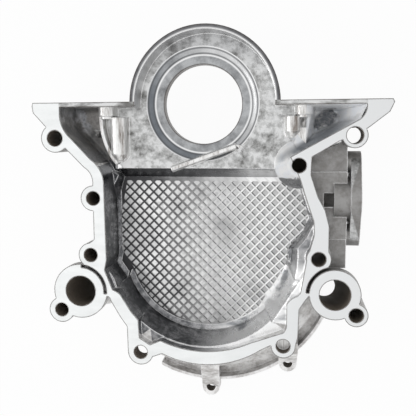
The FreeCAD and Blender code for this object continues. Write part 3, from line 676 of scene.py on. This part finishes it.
def region_of(centre, normal):
    """Finish of each face, by its centre, the way it looks and its distance from the hole axes.

    A water passage has its mouth's circle down to the bend, and below it the share t = (bend - z) /
    (bend - front) moves the circle's centre and radius evenly to those at the pump face. Along the deflector
    bar, a face's place is its offset from the bar's end times the bar's direction, and its distance aside is
    the cross product of the two.
    """
    x, y, z = centre.T
    up = normal[:, 2]
    region = np.full(len(centre), INNER_WALL, dtype=np.int32)
    from_crank = np.hypot(x, y)
    from_chamber = np.hypot(x - CHAMBER[0], y - CHAMBER[1])
    from_arch = np.hypot(x - ARCH[0], y - ARCH[1])
    from_flare = np.hypot(x - FLARE_HOLE[0], y - FLARE_HOLE[1])
    from_dowel = np.hypot(x - DOWEL_HOLE[0], y - DOWEL_HOLE[1])
    under_arch = abs(x - ARCH[0]) < ARCH_RADIUS
    below = z < -CLEAR
    above_shelf = z > SHELF_Z + CLEAR
    on_flange = (z > -CLEAR) & (up > FACING)

    edge_y, edge_x = np.array(RIGHT_EDGE).T
    outside = x > np.interp(y, edge_y, edge_x) + WALL
    edge_y, edge_x = np.array(LEFT_EDGE).T
    outside |= x < np.interp(y, edge_y, edge_x) - WALL
    outside |= (y > RAIL_Y + HAIR) & (from_arch > ARCH_RADIUS - 0.0008)
    outside |= (up < -LEANING) & (z < SHELF_Z)
    region[outside & below & (y > RIM_Y)] = OUTSIDE
    region[(from_chamber > CHAMBER_RIM) & (y < RIM_Y) & below] = OUTSIDE

    region[(abs(z - SHELF_Z) < 0.0004) & (up > FACING)] = SHELF
    on_floor = (z < FLOOR_Z + 0.0003) & (z > FLOOR_Z - RIB_DEPTH - 0.0004)
    region[on_floor & (y < WAFFLE_TOP_Y) & (from_chamber < WAFFLE_REACH)] = WAFFLE
    region[below & (region == INNER_WALL) & (x < LEFT_POCKET_X) & (y > LEFT_POCKET_Y)] = LEFT_POCKET
    region[below & (region == INNER_WALL) & (y > RAIL_Y - 0.0030) & under_arch] = ARCH_RIM

    (start_x, start_y), (end_x, end_y) = BAR_LINE
    run = np.hypot(end_x - start_x, end_y - start_y)
    along = ((x - start_x) * (end_x - start_x) + (y - start_y) * (end_y - start_y)) / run
    aside = abs((x - start_x) * (end_y - start_y) - (y - start_y) * (end_x - start_x)) / run
    region[above_shelf & (aside < BAR_HALF) & (along > -0.002) & (along < run + 0.003)] = RIDGE
    for left_x, right_x, low_y in RIDGES:
        region[above_shelf & (x > left_x) & (x < right_x) & (y > low_y) & (y < RAIL_IN_Y + HAIR)] = RIDGE
    region[below & (from_flare < FLARE_RADIUS) & (y > RIGHT_POCKET_Y) & (z > SHELF_Z + 0.0003)] = RIGHT_POCKET
    region[below & (x > RIGHT_POCKET_X) & (y > RIGHT_POCKET_Y) & (y < RAIL_IN_Y) & ~outside] = RIGHT_POCKET

    region[on_flange] = MILLED
    region[on_flange & (y > RAIL_Y + HAIR) & under_arch] = ARCH_RIM
    region[(y > RAIL_Y - HAIR) & (normal[:, 1] > SQUARE)] = MILLED
    region[(x > PUMP_PAD_X - HAIR) & (normal[:, 0] > SQUARE)] = MILLED
    region[(z < FRONT_Z + HAIR) & (up < -FACING)] = MILLED
    region[(from_crank < CRANK_CONE_RADIUS + HAIR) & (z < SHELF_Z - HAIR)] = TURNED

    in_dowel = (from_dowel < DOWEL_HOLE[2] + CLEAR) & below
    region[in_dowel] = np.where(up[in_dowel] > FACING, RIDGE, BORE)
    for hole_x, hole_y, radius in HOLES:
        region[(np.hypot(x - hole_x, y - hole_y) < radius + CLEAR) & below] = BORE
    for mouth_x, mouth_y, mouth_radius, end_x, end_y, end_radius in PASSAGES:
        t = np.clip((PASSAGE_MOUTH_Z - z) / (PASSAGE_MOUTH_Z - FRONT_Z), 0.0, 1.0)
        away = np.hypot(x - mouth_x - t * (end_x - mouth_x), y - mouth_y - t * (end_y - mouth_y))
        region[(away < mouth_radius + t * (end_radius - mouth_radius) + 0.0004) & below] = BORE
    return region


def finishes(settings, machining):
    """The casting's materials, in the order of its slots."""
    wear_and_highlight = tuple(settings.wear_and_highlight)
    return (
        cast_skin("cast_wall", settings, (tuple(settings.wall), tuple(settings.wall_stain_and_shade)),
                  stain_scale=75.0, stain=(0.45, 0.57), rough=(0.20, 0.38), rounding=2.2, left_shade=0.70),
        cast_skin("shelf_plate", settings, (tuple(settings.shelf), tuple(settings.shelf_dark)),
                  stain_scale=78.0, stain=(0.44, 0.61), rough=(0.28, 0.42), stretch=(0.9, 0.9, 1.0),
                  other_tones=ARCH_SHELF_TONES, other_y=ARCH_SHELF_Y),
        waffle_skin("waffle_floor", settings),
        milled_face("milled_face", settings, machining),
        turned_face("turned_face", settings, machining),
        bore_wall("bore_wall", settings),
        cast_skin("outer_skin", settings, (tuple(settings.outer), tuple(settings.outer_dark)),
                  stain_scale=70.0, stain=(0.44, 0.66), rough=(0.42, 0.60), depth=0.00016, metallic=0.85,
                  other_tones=(tuple(settings.trough), tuple(settings.trough_dark)), other_y=LOW_SKIN_Y),
        arch_rim("arch_rim", settings, machining),
        # Ridges, bosses and bar: near-white, partly bare metal and partly painted highlight
        cast_skin("bare_ridge", settings, (tuple(settings.ridge), tuple(settings.ridge_dark)),
                  stain_scale=190.0, stain=(0.47, 0.62), rough=(0.28, 0.42), depth=0.00008,
                  stretch=(1.0, 0.12, 1.0), rounding=1.6, metallic=0.65),
        # Painted light: the right pocket is near white, with painted reflections
        pocket_skin("right_pocket", settings, (wear_and_highlight, RIGHT_POCKET_LIT_CLOUDS), 0.0, RIGHT_REFLECTIONS),
        # Painted shade: the left pocket is dark, with painted glints
        pocket_skin("left_pocket", settings, LEFT_POCKET_SHADE_TONES, 0.15, LEFT_GLINTS_AND_PATCHES),
    )


def merge_and_shade(piece):
    """Merge the loose triangles' doubled corners, and shade smooth but for sharp edges."""
    shell = bmesh.new()
    shell.from_mesh(piece.data)
    bmesh.ops.remove_doubles(shell, verts=shell.verts, dist=MERGE_DISTANCE)
    for face in shell.faces:
        face.smooth = True
    for edge in shell.edges:
        edge.smooth = len(edge.link_faces) == 2 and edge.calc_face_angle(0.0) < SHARP_EDGE
    shell.to_mesh(piece.data)
    shell.free()


class TIMINGCOVER_OT_casting(bpy.types.Operator):
    """Dress the casting: a merged copy of its solid, with a finish for each kind of surface"""
    bl_idname = "timingcover.casting"
    bl_label = "Casting"

    def execute(self, context):
        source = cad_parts[NODE]
        mesh = source.data.copy()
        mesh.name = "casting"
        mesh.materials.clear()
        piece = bpy.data.objects.new("casting", mesh)
        context.scene.collection.objects.link(piece)
        for finish in finishes(context.scene.timing_cover_casting, context.scene.timing_cover_machining):
            mesh.materials.append(finish)
        merge_and_shade(piece)
        count = len(mesh.polygons)
        centre = np.empty(count * 3)
        normal = np.empty(count * 3)
        mesh.polygons.foreach_get("center", centre)
        mesh.polygons.foreach_get("normal", normal)
        region = region_of(centre.reshape(-1, 3), normal.reshape(-1, 3))
        mesh.polygons.foreach_set("material_index", region)
        mesh.update()
        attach(piece, "root")
        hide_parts(NODE)
        return {"FINISHED"}


def area_lamp(name, place, target, size, power):
    """Soft square lamp at a place, turned to its target."""
    data = bpy.data.lights.new(name, "AREA")
    data.size = size
    data.energy = power
    lamp = bpy.data.objects.new(name, data)
    bpy.context.scene.collection.objects.link(lamp)
    lamp.location = place
    lamp.rotation_euler = (Vector(target) - Vector(place)).to_track_quat("-Z", "Y").to_euler()


class TIMINGCOVER_OT_stage(bpy.types.Operator):
    """Make the plain floor, the pale room, the soft lamps and the camera of the photograph"""
    bl_idname = "timingcover.stage"
    bl_label = "Stage"

    def execute(self, context):
        stage = context.scene.timing_cover_stage
        self.make_floor(context, stage)
        self.make_room(context, stage)
        area_lamp("side_lamp", *SIDE_LAMP, stage.side)
        area_lamp("top_lamp", *TOP_LAMP, stage.top)
        self.make_camera(context)
        context.scene.view_settings.view_transform = "Standard"
        return {"FINISHED"}

    def make_floor(self, context, stage):
        """Square floor a hair below the casting's lowest faces, so that the two don't share a plane."""
        mesh = bpy.data.meshes.new("floor")
        half, low = FLOOR_HALF, FRONT_Z - FLOOR_GAP
        corners = [(-half, -half, low), (half, -half, low), (half, half, low), (-half, half, low)]
        mesh.from_pydata(corners, [], [(0, 1, 2, 3)])
        floor = bpy.data.objects.new("floor", mesh)
        context.scene.collection.objects.link(floor)
        material = bpy.data.materials.new("floor")
        tree = tree_of(material)
        plain = add(tree, "ShaderNodeBsdfDiffuse", [("Color", (*stage.floor, 1.0))])
        white = add(tree, "ShaderNodeEmission", [("Color", (1.0, 1.0, 1.0, 1.0)), ("Strength", 1.0)])
        share = times(tree, seen_share(tree), stage.floor_white)
        mix = add(tree, "ShaderNodeMixShader", [(0, share), (1, plain.outputs["BSDF"]),
                                                (2, white.outputs["Emission"])])
        output = add(tree, "ShaderNodeOutputMaterial")
        tree.links.new(mix.outputs["Shader"], output.inputs["Surface"])
        mesh.materials.append(material)

    def make_room(self, context, stage):
        """Pale even room light, white where the camera or a reflection shows it."""
        world = context.scene.world or bpy.data.worlds.new("room")
        context.scene.world = world
        tree = tree_of(world)
        light = add(tree, "ShaderNodeBackground", [("Color", (0.9, 0.9, 0.9, 1.0)), ("Strength", stage.sky)])
        white = add(tree, "ShaderNodeBackground", [("Color", (1.0, 1.0, 1.0, 1.0)), ("Strength", 1.0)])
        mix = add(tree, "ShaderNodeMixShader", [(0, seen_share(tree)), (1, light.outputs["Background"]),
                                                (2, white.outputs["Background"])])
        output = add(tree, "ShaderNodeOutputWorld")
        tree.links.new(mix.outputs["Shader"], output.inputs["Surface"])

    def make_camera(self, context):
        """Camera at the place, turn and angle of view from which the photograph was taken."""
        data = bpy.data.cameras.new("photo_camera")
        data.sensor_width = SENSOR_WIDTH
        data.lens = FOCAL_SHARE * SENSOR_WIDTH
        data.clip_start = 0.01
        camera = bpy.data.objects.new("photo_camera", data)
        context.scene.collection.objects.link(camera)
        turn = Matrix((CAMERA_RIGHT, CAMERA_UP, -Vector(CAMERA_VIEW))).transposed().to_4x4()
        camera.matrix_world = Matrix.Translation(CAMERA_PLACE) @ turn
        context.scene.camera = camera


class TIMINGCOVER_PT_panel(bpy.types.Panel):
    """Sizes and colours of the timing cover, and the operators that make it"""
    bl_idname = "TIMINGCOVER_PT_panel"
    bl_label = "Timing cover"
    bl_space_type = "VIEW_3D"
    bl_region_type = "UI"
    bl_category = "Timing cover"

    def draw(self, context):
        for name in ("timing_cover_casting", "timing_cover_machining", "timing_cover_stage"):
            group = getattr(context.scene, name)
            box = self.layout.box()
            for field in group.bl_rna.properties:
                if field.identifier not in ("rna_type", "name"):
                    box.prop(group, field.identifier)
        for operator in OPERATORS:
            self.layout.operator(operator.bl_idname)


OPERATORS = (TIMINGCOVER_OT_casting, TIMINGCOVER_OT_stage)
CLASSES = (CastingSettings, MachiningSettings, StageSettings) + OPERATORS + (TIMINGCOVER_PT_panel,)


def register():
    for item in CLASSES:
        bpy.utils.register_class(item)
    bpy.types.Scene.timing_cover_casting = PointerProperty(type=CastingSettings)
    bpy.types.Scene.timing_cover_machining = PointerProperty(type=MachiningSettings)
    bpy.types.Scene.timing_cover_stage = PointerProperty(type=StageSettings)


def unregister():
    del bpy.types.Scene.timing_cover_stage
    del bpy.types.Scene.timing_cover_machining
    del bpy.types.Scene.timing_cover_casting
    for item in reversed(CLASSES):
        bpy.utils.unregister_class(item)


def main():
    register()
    bpy.ops.timingcover.casting()
    bpy.ops.timingcover.stage()


if __name__ == "__main__":
    main()
